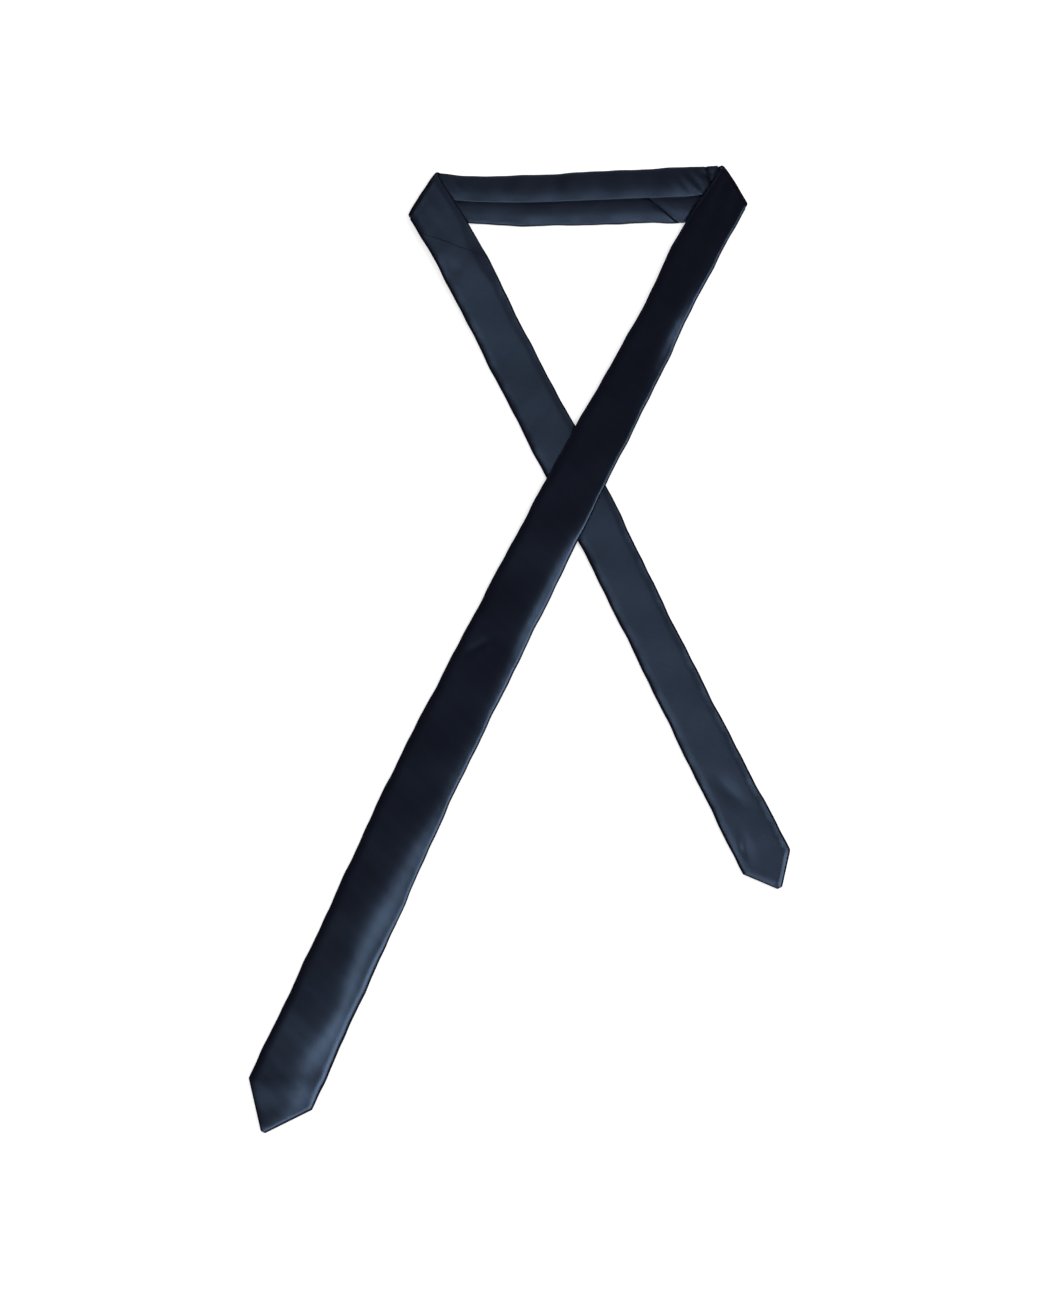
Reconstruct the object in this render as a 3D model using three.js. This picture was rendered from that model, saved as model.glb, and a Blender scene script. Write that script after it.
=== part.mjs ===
// A slim satin necktie, laid flat with its neckband folded over at both ends.
// Millimetres, +Z up. The origin is the centre of the neckband's underside: +X runs along the
// neckband towards the blade's corner, and the blade and the tail run down towards -Y.
import * as THREE from 'three';

// ---------------------------------------------------------------- cloth and layers
const CLOTH = 0.4;                  // satin, one layer
const LINING = 0.3;                 // tipping behind the two ends
const WOOL = 1.2;                   // interlining
const GAP = 0.2;                    // air between two layers
const THREAD = 0.35;                // slip stitch
const STITCH_GAP = 0.4;             // between the outer flap's edge and its slip stitch
const STITCH_LOW = 0.1;             // a thread's underside, from the back face
const SEAM = 0.5;                   // width left between two panels for their seam
const SEAM_THREAD = 0.24;           // width of the seam in it
const JOINT_GAP = 0.3;              // between two pieces that meet at a flex line or at a fold

// Layer heights n, from the back face (0) to the front face (THICK).
const INNER_FLAP = CLOTH + GAP;
const LINING_AT = INNER_FLAP + CLOTH + GAP;
const WOOL_AT = LINING_AT + LINING + GAP;
const FRONT_AT = WOOL_AT + WOOL + GAP;
const THICK = FRONT_AT + CLOTH;

const OUTER_EDGE = -1.5;            // where the outer flap's free edge lies, from the centre line
const INNER_EDGE = 6;               // where the inner flap's free edge lies, under the outer one
const HEM = 8;                      // the flaps' width round the two tips
const WOOL_INSET = 2.2;             // interlining, short of the folded edges
const LINING_INSET = 3;             // lining, short of the folded edges
const ARC_STEPS = 4;                // facets round a folded edge

// ---------------------------------------------------------------- the runs of cloth
// A smooth curve through hand-chosen [place, value] points, level beyond its ends.
function curve(points) {
  const slope = (i) => {
    const a = points[Math.max(i - 1, 0)];
    const b = points[Math.min(i + 1, points.length - 1)];
    return (b[1] - a[1]) / (b[0] - a[0]);
  };
  return (s) => {
    if (s <= points[0][0]) return points[0][1];
    const k = points.findIndex((point) => point[0] >= s);
    if (k < 0) return points[points.length - 1][1];
    const [[s0, v0], [s1, v1]] = [points[k - 1], points[k]];
    const span = s1 - s0;
    const t = (s - s0) / span;
    const [m0, m1] = [slope(k - 1) * span, slope(k) * span];
    return (2 * t ** 3 - 3 * t ** 2 + 1) * v0 + (t ** 3 - 2 * t ** 2 + t) * m0
      + (3 * t ** 2 - 2 * t ** 3) * v1 + (t ** 3 - t ** 2) * m1;
  };
}

// Straight stretches through [place, value] points, level beyond the ends.
function ramp(points) {
  return (s) => {
    if (s <= points[0][0]) return points[0][1];
    const k = points.findIndex((point) => point[0] >= s);
    if (k < 0) return points[points.length - 1][1];
    const [[s0, v0], [s1, v1]] = [points[k - 1], points[k]];
    return v0 + (v1 - v0) * (s - s0) / (s1 - s0);
  };
}

// A run is a strip of the folded tie with a straight axis in plan. s is the distance along it,
// u the distance across it (positive on the outer flap's side), n the height in its layers.
function makeRun({ from, heading, outerSide, mid, width, lift, tip = null, faceDown = false }) {
  const turn = THREE.MathUtils.degToRad(heading);
  const along = new THREE.Vector2(Math.cos(turn), Math.sin(turn));
  const across = new THREE.Vector2(-along.y, along.x).multiplyScalar(outerSide);
  const start = new THREE.Vector2(...from);
  const half = (s) => (tip ? Math.min(width(s) / 2, (tip.at - s) * tip.slope) : width(s) / 2);
  const point = (s, u, n) => {
    const plan = start.clone().addScaledVector(along, s).addScaledVector(across, mid(s) + u);
    return new THREE.Vector3(plan.x, plan.y, lift(s) + (faceDown ? THICK - n : n));
  };
  return { along, across, start, mid, half, point, tip };
}

const LAYER_GAP = 0.3;              // between the neckband and what is folded over it
const OVER_BAND = THICK + LAYER_GAP;
const OVER_TAIL = THICK + 1.3;      // the blade's underside where it crosses the tail
const HINGE_Z = THICK + LAYER_GAP / 2;

const BLADE_FLEX = 262;             // the flex line just past the crossing
const BLADE_SETTLED = 322;          // where the blade has come down to what it lies on
const BLADE_OVER_LOOP = 0.8;        // room under the blade for its keeper loop
const BLADE_TIP = 741.8;
const BLADE_POINT = 29.8;           // length of the blade's point, from its shoulders to its tip
const BLADE_SHOULDER = BLADE_TIP - BLADE_POINT;
const TAIL_FLEX = 270;
const TAIL_SETTLED = 280;
const TAIL_TIP = 547.6;
const TAIL_POINT = 21.1;
const TAIL_SHOULDER = TAIL_TIP - TAIL_POINT;

const band = makeRun({
  from: [0, 0],
  heading: 0,
  outerSide: 1,
  mid: curve([[-115, 3.2], [-98, 1.2], [-73, -0.8], [-40, -1.4], [0, 0], [50, 2], [80, 3.4], [108, 9.6]]),
  width: curve([[-115, 31], [-98, 33.4], [-66, 33.6], [-40, 35.8], [0, 37.1], [50, 38.3], [80, 38], [108, 28.4]]),
  lift: () => 0,
  faceDown: true,
});

const blade = makeRun({
  from: [110.6, 10.15],
  heading: -116.63,
  outerSide: -1,
  mid: curve([[0, 1.4], [50, 5.3], [130, 5.3], [235, 7.8], [400, 9.2], [480, 9], [585, 5], [712, 1], [742, 0]]),
  width: curve([[0, 28.4], [50, 33], [95, 31.4], [165, 35.5], [270, 40.2], [410, 44.5], [550, 47.2],
    [655, 48.3], [712, 50.3], [742, 51]]),
  lift: ramp([[0, OVER_BAND], [BLADE_FLEX, OVER_TAIL], [BLADE_SETTLED, BLADE_OVER_LOOP],
    [BLADE_SHOULDER - 30, BLADE_OVER_LOOP], [BLADE_SHOULDER + 20, 0]]),
  tip: { at: BLADE_TIP + 2, slope: 0.79 },
});

const tail = makeRun({
  from: [-111.3, 3.15],
  heading: -62.64,
  outerSide: 1,
  mid: curve([[0, 0.6], [50, 3.9], [130, 3.5], [235, 3.9], [340, 2], [445, 0.5], [548, 0]]),
  width: curve([[0, 32.6], [50, 34], [130, 33.4], [235, 35], [340, 34], [445, 35.6], [516, 37.4], [548, 37.6]]),
  lift: ramp([[0, OVER_BAND], [TAIL_FLEX, 0]]),
  tip: { at: TAIL_TIP + 1, slope: 0.83 },
});

// ---------------------------------------------------------------- the two folds
// A fold's outer edge in plan, from the neckband's top to its bottom. Its hinge line lies one
// bend radius inside it.
const BEND = HINGE_Z;
function makeFold(top, bottom, inwardX) {
  const [a, b] = [new THREE.Vector2(...top), new THREE.Vector2(...bottom)];
  const line = b.clone().sub(a).normalize();
  const inward = new THREE.Vector2(-line.y, line.x);
  if (inward.x * inwardX < 0) inward.negate();
  a.addScaledVector(inward, BEND);
  b.addScaledVector(inward, BEND);
  return { a, b, line, inward };
}
const bladeFold = makeFold([100.2, 23.9], [117.5, -4.2], -1);
const tailFold = makeFold([-101, 18.8], [-121.6, -12.6], 1);

// The place s where a run, at the across distance u, ends just short of a fold's hinge line.
function foldEnd(run, fold) {
  const slope = run.along.dot(fold.inward);
  const reach = fold.a.clone().sub(run.start).dot(fold.inward) + JOINT_GAP / 2;
  return (p, s) => (reach - run.across.dot(fold.inward) * (run.mid(s) + p.u)) / slope;
}

// ---------------------------------------------------------------- sections
// A section is a list of points { u, n, turn }. turn counts round the satin: 0 at the inner flap's
// free edge, 1 and 2 at the folded edges, 3 at the outer flap's free edge.
function satinSection(half, flaps) {
  const outerR = THICK / 2;
  const innerR = (THICK - INNER_FLAP) / 2;
  const path = (inset) => {
    const points = [{ u: flaps.inner, n: INNER_FLAP + inset, turn: 0 }];
    const left = -(half - innerR);
    for (let k = 0; k <= ARC_STEPS; k += 1) {
      const angle = Math.PI * k / ARC_STEPS;
      points.push({
        u: left - (innerR - inset) * Math.sin(angle),
        n: INNER_FLAP + innerR - (innerR - inset) * Math.cos(angle),
        turn: 0.9 + 0.2 * k / ARC_STEPS,
      });
    }
    const right = half - outerR;
    for (let k = 0; k <= ARC_STEPS; k += 1) {
      const angle = Math.PI * k / ARC_STEPS;
      points.push({
        u: right + (outerR - inset) * Math.sin(angle),
        n: outerR + (outerR - inset) * Math.cos(angle),
        turn: 1.9 + 0.2 * k / ARC_STEPS,
      });
    }
    points.push({ u: flaps.outer, n: inset, turn: 3 });
    return points;
  };
  return [...path(0), ...path(CLOTH).reverse()];
}

// A flat layer, or a strip of one, between two across distances.
function flatSection(left, right, low, high) {
  return [
    { u: left, n: low, turn: 0 },
    { u: right, n: low, turn: 3 },
    { u: right, n: high, turn: 3 },
    { u: left, n: high, turn: 0 },
  ];
}

// ---------------------------------------------------------------- solids
function solid(positions, faces) {
  const corner = (k) => positions[k];
  const volume = faces.reduce((sum, [a, b, c]) => (
    sum + corner(a).clone().cross(corner(b)).dot(corner(c))), 0);
  const geometry = new THREE.BufferGeometry();
  geometry.setAttribute('position', new THREE.Float32BufferAttribute(positions.flatMap((p) => p.toArray()), 3));
  geometry.setIndex(faces.flatMap(([a, b, c]) => (volume < 0 ? [a, c, b] : [a, b, c])));
  geometry.computeVertexNormals();
  return geometry;
}

// Closes rings of points, each ring a section, into one body.
function closeRings(rings, section) {
  const count = section.length;
  const flat = section.map((p) => new THREE.Vector2(p.u, p.n));
  const turning = (corners) => Math.sign(THREE.ShapeUtils.area(corners));
  const last = (rings.length - 1) * count;
  const faces = [];
  for (const cap of THREE.ShapeUtils.triangulateShape(flat, [])) {
    const sameWay = turning(cap.map((i) => flat[i])) === turning(flat);
    const [a, b, c] = sameWay ? cap : [cap[0], cap[2], cap[1]];
    faces.push([a, c, b], [last + a, last + b, last + c]);
  }
  for (let k = 0; k < rings.length - 1; k += 1) {
    for (let i = 0; i < count; i += 1) {
      const [p, q] = [k * count + i, k * count + (i + 1) % count];
      faces.push([p, q, q + count], [p, q + count, p + count]);
    }
  }
  return solid(rings.flat(), faces);
}

// Sweeps a section along a run through the given stations. begin and finish say where a section
// point starts and ends, when that isn't straight across the run.
function sweep(run, sectionAt, stations, { begin = null, finish = null } = {}) {
  const [first, last] = [stations[0], stations[stations.length - 1]];
  const settle = (where, index, guess) => {
    let s = guess;
    for (let round = 0; round < 5; round += 1) s = where(sectionAt(s)[index], s);
    return s;
  };
  const section = sectionAt((first + last) / 2);
  const starts = section.map((_, i) => (begin ? settle(begin, i, first) : first));
  const ends = section.map((_, i) => (finish ? settle(finish, i, last) : last));
  const rings = stations.map((station) => {
    const share = (station - first) / (last - first);
    return section.map((_, i) => {
      const s = starts[i] + (ends[i] - starts[i]) * share;
      const p = sectionAt(s)[i];
      return run.point(s, p.u, p.n);
    });
  });
  return closeRings(rings, section);
}

// Evenly spaced stations from one place to another, with any that must be met exactly.
function stations(from, to, step, ...exact) {
  const count = Math.max(1, Math.round((to - from) / step));
  const even = Array.from({ length: count + 1 }, (_, k) => from + (to - from) * k / count);
  const kept = even.filter((s, k) => k === 0 || k === count || exact.every((e) => Math.abs(e - s) > step / 3));
  return [...kept, ...exact.filter((e) => e > from && e < to)].sort((a, b) => a - b);
}

// ---------------------------------------------------------------- finishes
const surface = (color, roughness) => () => new THREE.MeshStandardMaterial({ color, roughness, metalness: 0 });
const satin = surface(0x2c3846, 0.42);
const satinBlade = surface(0x1d2632, 0.42);
const wool = surface(0xd9d4c8, 0.95);
const liningSatin = surface(0x1a222e, 0.5);
const thread = surface(0x141a24, 0.8);
const labelCloth = surface(0xc9ccd0, 0.7);

const necktie = new THREE.Group();
function add(name, geometry, material) {
  const mesh = new THREE.Mesh(geometry, material());
  mesh.name = name;
  necktie.add(mesh);
}

// ---------------------------------------------------------------- flaps, folds and seams
const bodyFlaps = { outer: OUTER_EDGE, inner: INNER_EDGE };

// Below its bar tack the flaps part, from the centre line to a hem round the tip.
function openFlaps(run, tackAt, shoulder) {
  return (s) => {
    const open = THREE.MathUtils.smoothstep(s, tackAt, shoulder);
    const hemEdge = Math.max(run.half(s) - HEM, 0);
    return {
      outer: THREE.MathUtils.lerp(OUTER_EDGE, hemEdge, open),
      inner: THREE.MathUtils.lerp(INNER_EDGE, -hemEdge, open),
    };
  };
}

const shift = (where, by) => (p, s) => where(p, s) + by;

// A seam cut on the bias: its place at the inner flap's free edge, at the two folded edges and at
// the outer flap's free edge.
function biasSeam(places) {
  const at = ramp(places.map((s, turn) => [turn, s]));
  return (p) => at(p.turn);
}

const bandToBlade = foldEnd(band, bladeFold);
const bandToTail = foldEnd(band, tailFold);
const bladeToBand = foldEnd(blade, bladeFold);
const tailToBand = foldEnd(tail, tailFold);

const bladeSeam = biasSeam([38, 70, 88, 92]);
const tailSeam = biasSeam([14, 20, 64, 84]);
const halfSeam = SEAM / 2;
const halfThread = SEAM_THREAD / 2;
const halfJoint = JOINT_GAP / 2;

const bodySatin = (run) => (s) => satinSection(run.half(s), bodyFlaps);
const bodyWool = (run) => (s) => flatSection(
  WOOL_INSET - run.half(s), run.half(s) - WOOL_INSET, WOOL_AT, WOOL_AT + WOOL);
// The slip stitch lies in the step beside the outer flap's free edge.
const stitchSection = () => flatSection(
  OUTER_EDGE - STITCH_GAP - THREAD, OUTER_EDGE - STITCH_GAP, STITCH_LOW, STITCH_LOW + THREAD);

// ---------------------------------------------------------------- neckband
const BAND_STEP = 14;
add('neck_panel', sweep(band, bodySatin(band), stations(-110, 70, BAND_STEP), {
  begin: bandToTail,
  finish: shift(bladeSeam, -halfSeam),
}), satin);
add('blade_panel_neck_end', sweep(band, bodySatin(band), stations(70, 105, BAND_STEP / 2), {
  begin: shift(bladeSeam, halfSeam),
  finish: bandToBlade,
}), satin);
add('blade_to_neck_seam', sweep(band, bodySatin(band), [60, 70], {
  begin: shift(bladeSeam, -halfThread),
  finish: shift(bladeSeam, halfThread),
}), thread);
add('neckband_interlining', sweep(band, bodyWool(band), stations(-110, 105, BAND_STEP), {
  begin: bandToTail,
  finish: bandToBlade,
}), wool);
add('neckband_slip_stitch', sweep(band, stitchSection, stations(-98, 98, BAND_STEP)), thread);

// ---------------------------------------------------------------- folds
// A half ring of cloth bent over a hinge line. Its radii come from the layer's height in a section.
function foldRing(fold, low, thick) {
  const RING_STEPS = 10;
  const INSET = 1;                  // the ring ends short of the folded edges
  const inner = HINGE_Z - THICK + low;
  const arc = (radius) => Array.from({ length: RING_STEPS + 1 }, (_, k) => {
    const angle = Math.PI * k / RING_STEPS;
    return { u: -radius * Math.sin(angle), n: HINGE_Z - radius * Math.cos(angle) };
  });
  const section = [...arc(inner + thick), ...arc(inner).reverse()];
  const rings = [INSET, fold.a.distanceTo(fold.b) - INSET].map((reach) => section.map((p) => {
    const plan = fold.a.clone().addScaledVector(fold.line, reach).addScaledVector(fold.inward, p.u);
    return new THREE.Vector3(plan.x, plan.y, p.n);
  }));
  return closeRings(rings, section);
}
for (const [prefix, fold] of [['blade', bladeFold], ['tail', tailFold]]) {
  add(`${prefix}_crease_front`, foldRing(fold, FRONT_AT, CLOTH), satin);
  add(`${prefix}_crease_interlining`, foldRing(fold, WOOL_AT, WOOL), wool);
  add(`${prefix}_crease_flaps`, foldRing(fold, 0, INNER_FLAP + CLOTH), satin);
}

// ---------------------------------------------------------------- blade, from its fold to its flex line
const RUN_STEP = 30;
add('blade_panel', sweep(blade, bodySatin(blade), stations(0, BLADE_FLEX, RUN_STEP), {
  begin: bladeToBand,
  finish: () => BLADE_FLEX - halfJoint,
}), satinBlade);
add('blade_interlining', sweep(blade, bodyWool(blade), stations(0, BLADE_FLEX, RUN_STEP), {
  begin: bladeToBand,
  finish: () => BLADE_FLEX - halfJoint,
}), wool);
add('blade_slip_stitch', sweep(blade, stitchSection, stations(10, BLADE_FLEX - halfJoint, RUN_STEP)), thread);

// ---------------------------------------------------------------- an end: from its flex line to its tip
const TIP_BLUNT = 1.9;              // half width where a tip's satin closes
const LAYER_BLUNT = 1.5;            // half width where a layer inside it ends
const TACK_REACH = 4;               // a bar tack: across the strip, along it, and above the flaps' parting
const TACK_LENGTH = 2.5;
const TACK_ABOVE = 3;
const STITCH_ABOVE = 8;             // the slip stitch ends this far above the flaps' parting
const LINING_START = 90;            // the lining reaches this far above the bar tack

function addEnd(prefix, run, { flex, settled, tackAt, shoulder, colour }) {
  const flaps = openFlaps(run, tackAt, shoulder);
  const satinTip = run.tip.at - TIP_BLUNT / run.tip.slope;
  const layerTip = (inset) => run.tip.at - (inset + LAYER_BLUNT) / run.tip.slope;
  const path = (from, to) => stations(from, to, RUN_STEP, settled, tackAt, tackAt + 30, shoulder - 15,
    shoulder - 30, shoulder, shoulder + 6, shoulder + 12, shoulder + 20);
  const start = flex + halfJoint;
  add(`${prefix}_panel_end`, sweep(run, (s) => satinSection(run.half(s), flaps(s)), path(start, satinTip)), colour);
  add(`${prefix}_end_interlining`, sweep(run, bodyWool(run), path(start, layerTip(WOOL_INSET))), wool);
  add(`${prefix}_lining`, sweep(run, (s) => flatSection(
    LINING_INSET - run.half(s), run.half(s) - LINING_INSET, LINING_AT, LINING_AT + LINING,
  ), path(tackAt - LINING_START, layerTip(LINING_INSET))), liningSatin);
  add(`${prefix}_end_slip_stitch`, sweep(run, stitchSection, stations(start, tackAt - STITCH_ABOVE, RUN_STEP, settled)), thread);
  add(`${prefix}_bar_tack`, sweep(run, () => flatSection(
    OUTER_EDGE - STITCH_GAP - TACK_REACH, OUTER_EDGE - STITCH_GAP, STITCH_LOW, STITCH_LOW + THREAD,
  ), [tackAt - TACK_ABOVE - TACK_LENGTH, tackAt - TACK_ABOVE]), thread);
}

const BLADE_TACK = BLADE_TIP - 112;
const TAIL_TACK = TAIL_TIP - 78;
addEnd('blade', blade, {
  flex: BLADE_FLEX, settled: BLADE_SETTLED, tackAt: BLADE_TACK, shoulder: BLADE_SHOULDER, colour: satinBlade,
});

// ---------------------------------------------------------------- what is sewn to the blade's back
const LOOP_AT = BLADE_TIP - 150;    // keeper loop, above the bar tack
const LOOP_WIDTH = 10;
const LOOP_REACH = 15;              // from the centre line to each end
const LOOP_LOW = -BLADE_OVER_LOOP;  // its underside, from the blade's back face
const LOOP_THICK = 0.4;
const LOOP_STITCH_IN = 2;           // from the loop's end to the middle of its stitch
const LOOP_STITCH_WIDTH = 1.2;
const LOOP_STITCH_MARGIN = 1;       // from the loop's edge to its stitch
const LOOP_STITCH_GAP = 0.05;
add('keeper_loop', sweep(blade, () => flatSection(
  -LOOP_REACH, LOOP_REACH, LOOP_LOW, LOOP_LOW + LOOP_THICK,
), [LOOP_AT, LOOP_AT + LOOP_WIDTH]), satinBlade);
for (const [name, side] of [['keeper_loop_stitch_1', -1], ['keeper_loop_stitch_2', 1]]) {
  const at = side * (LOOP_REACH - LOOP_STITCH_IN);
  const half = LOOP_STITCH_WIDTH / 2;
  add(name, sweep(blade, () => flatSection(
    at - half, at + half, LOOP_LOW + LOOP_THICK + LOOP_STITCH_GAP, -LOOP_STITCH_GAP,
  ), [LOOP_AT + LOOP_STITCH_MARGIN, LOOP_AT + LOOP_WIDTH - LOOP_STITCH_MARGIN]), thread);
}
const LABEL_AT = BLADE_TIP - 58;    // care label, on the lining between the parted flaps
const LABEL_HALF = 7;
const LABEL_LENGTH = 22;
const LABEL_GAP = 0.1;
add('care_label', sweep(blade, () => flatSection(-LABEL_HALF, LABEL_HALF, INNER_FLAP, LINING_AT - LABEL_GAP),
  [LABEL_AT, LABEL_AT + LABEL_LENGTH]), labelCloth);

// ---------------------------------------------------------------- tail
add('neck_panel_tail_end', sweep(tail, bodySatin(tail), stations(0, 45, 12), {
  begin: tailToBand,
  finish: shift(tailSeam, -halfSeam),
}), satin);
add('neck_to_tail_seam', sweep(tail, bodySatin(tail), [35, 45], {
  begin: shift(tailSeam, -halfThread),
  finish: shift(tailSeam, halfThread),
}), thread);
add('tail_panel', sweep(tail, bodySatin(tail), stations(45, TAIL_FLEX, RUN_STEP), {
  begin: shift(tailSeam, halfSeam),
  finish: () => TAIL_FLEX - halfJoint,
}), satin);
add('tail_interlining', sweep(tail, bodyWool(tail), stations(0, TAIL_FLEX, RUN_STEP), {
  begin: tailToBand,
  finish: () => TAIL_FLEX - halfJoint,
}), wool);
add('tail_slip_stitch', sweep(tail, stitchSection, stations(14, TAIL_FLEX - halfJoint, RUN_STEP)), thread);
addEnd('tail', tail, {
  flex: TAIL_FLEX, settled: TAIL_SETTLED, tackAt: TAIL_TACK, shoulder: TAIL_SHOULDER, colour: satin,
});
// The spare end of the slip stitch, left as a small loop inside the tail's opening.
const SPARE_AT = TAIL_TACK + 30;
const SPARE_LENGTH = 14;
const SPARE_FROM_CENTRE = 3;
const SPARE_THICK = 0.5;            // two strands side by side
add('spare_thread_loop', sweep(tail, () => flatSection(
  SPARE_FROM_CENTRE, SPARE_FROM_CENTRE + SPARE_THICK, SPARE_THICK, 2 * SPARE_THICK,
), [SPARE_AT, SPARE_AT + SPARE_LENGTH]), thread);

export default necktie;
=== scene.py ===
# %% [markdown]
# # A slim satin necktie
# A necktie is one long strip of bias-cut satin, wrapped round a wool interlining and closed down its
# back with a slip stitch. Here it lies flat, with the neckband folded over at both ends. Every piece of
# cloth below is made by one idea: a surface that knows how far along the strip (s), how far across it
# (u) and how deep in its layers (n) each point is. The CAD model gives the same three numbers, so the
# fine cloth lies exactly where the plain solids are.

# %% The frame
import math

import bmesh
import bpy
import numpy as np
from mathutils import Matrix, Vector


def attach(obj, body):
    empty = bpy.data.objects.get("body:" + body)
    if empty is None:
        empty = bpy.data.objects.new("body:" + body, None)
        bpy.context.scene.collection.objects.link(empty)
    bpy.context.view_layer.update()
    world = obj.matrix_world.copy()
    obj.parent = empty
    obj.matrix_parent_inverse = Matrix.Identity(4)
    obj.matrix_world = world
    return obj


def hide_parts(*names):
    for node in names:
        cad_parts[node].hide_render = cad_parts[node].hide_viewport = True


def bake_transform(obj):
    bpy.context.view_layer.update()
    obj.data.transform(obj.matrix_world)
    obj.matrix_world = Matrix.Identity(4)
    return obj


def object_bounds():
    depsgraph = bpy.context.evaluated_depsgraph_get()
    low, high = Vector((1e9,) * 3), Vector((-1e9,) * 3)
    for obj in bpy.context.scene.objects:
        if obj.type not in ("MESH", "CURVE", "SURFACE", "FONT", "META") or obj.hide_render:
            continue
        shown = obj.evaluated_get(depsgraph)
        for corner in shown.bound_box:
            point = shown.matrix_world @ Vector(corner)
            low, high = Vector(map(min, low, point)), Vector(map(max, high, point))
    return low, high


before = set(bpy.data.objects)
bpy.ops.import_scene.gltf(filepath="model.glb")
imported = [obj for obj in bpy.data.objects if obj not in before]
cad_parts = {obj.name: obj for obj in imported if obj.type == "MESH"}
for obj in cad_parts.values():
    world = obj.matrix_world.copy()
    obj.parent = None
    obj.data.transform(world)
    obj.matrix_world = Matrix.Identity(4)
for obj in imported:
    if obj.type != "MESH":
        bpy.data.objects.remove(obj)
cad_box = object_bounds()

# %% [markdown]
# ## Looking straight down
# The tie is shown as a flat lay, with the camera straight above it. A long lens from two metres keeps
# the strip's edges straight. The camera's middle comes from the box of the whole object.

# %% Camera
CAMERA_HEIGHT = 2.0
VIEW_HEIGHT = 0.910                 # metres of floor from the bottom of the view to its top
OFF_MIDDLE = (0.0004, -0.0006)      # a hair off the middle, in metres
SENSOR = 36.0
low, high = (np.array(corner) for corner in cad_box)
middle = (low + high) / 2
camera_data = bpy.data.cameras.new("camera")
camera_data.sensor_width = SENSOR
camera_data.lens = SENSOR * CAMERA_HEIGHT / VIEW_HEIGHT
camera = bpy.data.objects.new("camera", camera_data)
camera.location = (middle[0] + OFF_MIDDLE[0], middle[1] + OFF_MIDDLE[1], CAMERA_HEIGHT)
bpy.context.scene.collection.objects.link(camera)
bpy.context.scene.camera = camera
print("middle of the tie:", middle.round(4), "lens:", round(camera_data.lens, 1))

# %% [markdown]
# ## Layers of cloth
# From its back face to its front face the tie is an outer flap, an inner flap, the lining (only behind
# the tips), the wool interlining and the satin front. The heights are those of the CAD model.

# %% Layer heights, in millimetres
MM = 0.001
CLOTH = 0.4
LINING = 0.3
WOOL = 1.2
GAP = 0.2
INNER_FLAP = CLOTH + GAP
LINING_AT = INNER_FLAP + CLOTH + GAP
WOOL_AT = LINING_AT + LINING + GAP
FRONT_AT = WOOL_AT + WOOL + GAP
THICK = FRONT_AT + CLOTH
LAYER_GAP = 0.3                     # between the neckband and what is folded over it
OVER_BAND = THICK + LAYER_GAP
HINGE_Z = THICK + LAYER_GAP / 2
OUTER_EDGE = -1.5                   # free edges of the two flaps, from the centre line
INNER_EDGE = 6.0
HEM = 8.0
WOOL_INSET = 2.2
LINING_INSET = 3.0
print("thickness:", round(THICK, 2), "mm")

# %% [markdown]
# ## Drawing with curves of one number
# Nearly every shape here is a number that changes along the strip: its width, its height, the depth of
# a ripple. Points given in a list and joined by a smooth curve are easy to read and to change. Waves and
# dents are added on top, as sines and soft bumps, so there is nothing random in the cloth.

# %% Helpers: smooth curves and steps
def curve(points):
    """A smooth curve through listed (place, value) points, level beyond its ends."""
    x, y = np.array(points, float).T
    before = np.maximum(np.arange(len(x)) - 1, 0)
    after = np.minimum(np.arange(len(x)) + 1, len(x) - 1)
    slope = (y[after] - y[before]) / (x[after] - x[before])

    def at(s):
        s = np.clip(s, x[0], x[-1])
        k = np.clip(np.searchsorted(x, s) - 1, 0, len(x) - 2)
        span = x[k + 1] - x[k]
        t = (s - x[k]) / span
        return ((2 * t**3 - 3 * t**2 + 1) * y[k] + (t**3 - 2 * t**2 + t) * slope[k] * span
                + (3 * t**2 - 2 * t**3) * y[k + 1] + (t**3 - t**2) * slope[k + 1] * span)
    return at


def step(x, a, b):
    """0 before a, 1 after b, smooth between them."""
    t = np.clip((x - a) / (b - a), 0, 1)
    return t * t * (3 - 2 * t)


def mix(a, b, t):
    return a + (b - a) * t


def waves(s, u, rows):
    """A sum of slanted ripples: each row is height, length along, length across and phase."""
    return sum(a * np.sin(2 * math.pi * (s / along + u / across) + phase) for a, along, across, phase in rows)


def dent(s, u, at_s, at_u, length, width, slant, depth):
    """A soft hollow, longer than it is wide, turned by slant degrees from the strip's direction."""
    turn = math.radians(slant)
    a = (s - at_s) * math.cos(turn) + (u - at_u) * math.sin(turn)
    b = (u - at_u) * math.cos(turn) - (s - at_s) * math.sin(turn)
    return -depth * np.exp(-(a / length) ** 2 - (b / width) ** 2)


print("a step's rise at a quarter, a half and three quarters:", step(np.array([0.25, 0.5, 0.75]), 0, 1))

# %% [markdown]
# ## Three runs of cloth
# In plan the folded tie is three nearly straight strips. Each has a start, a heading and two curves:
# how far its middle strays from the straight axis, and how wide it is. A third curve is how high its
# underside lies: on the floor, over the neckband, or over the other strip.

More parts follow.
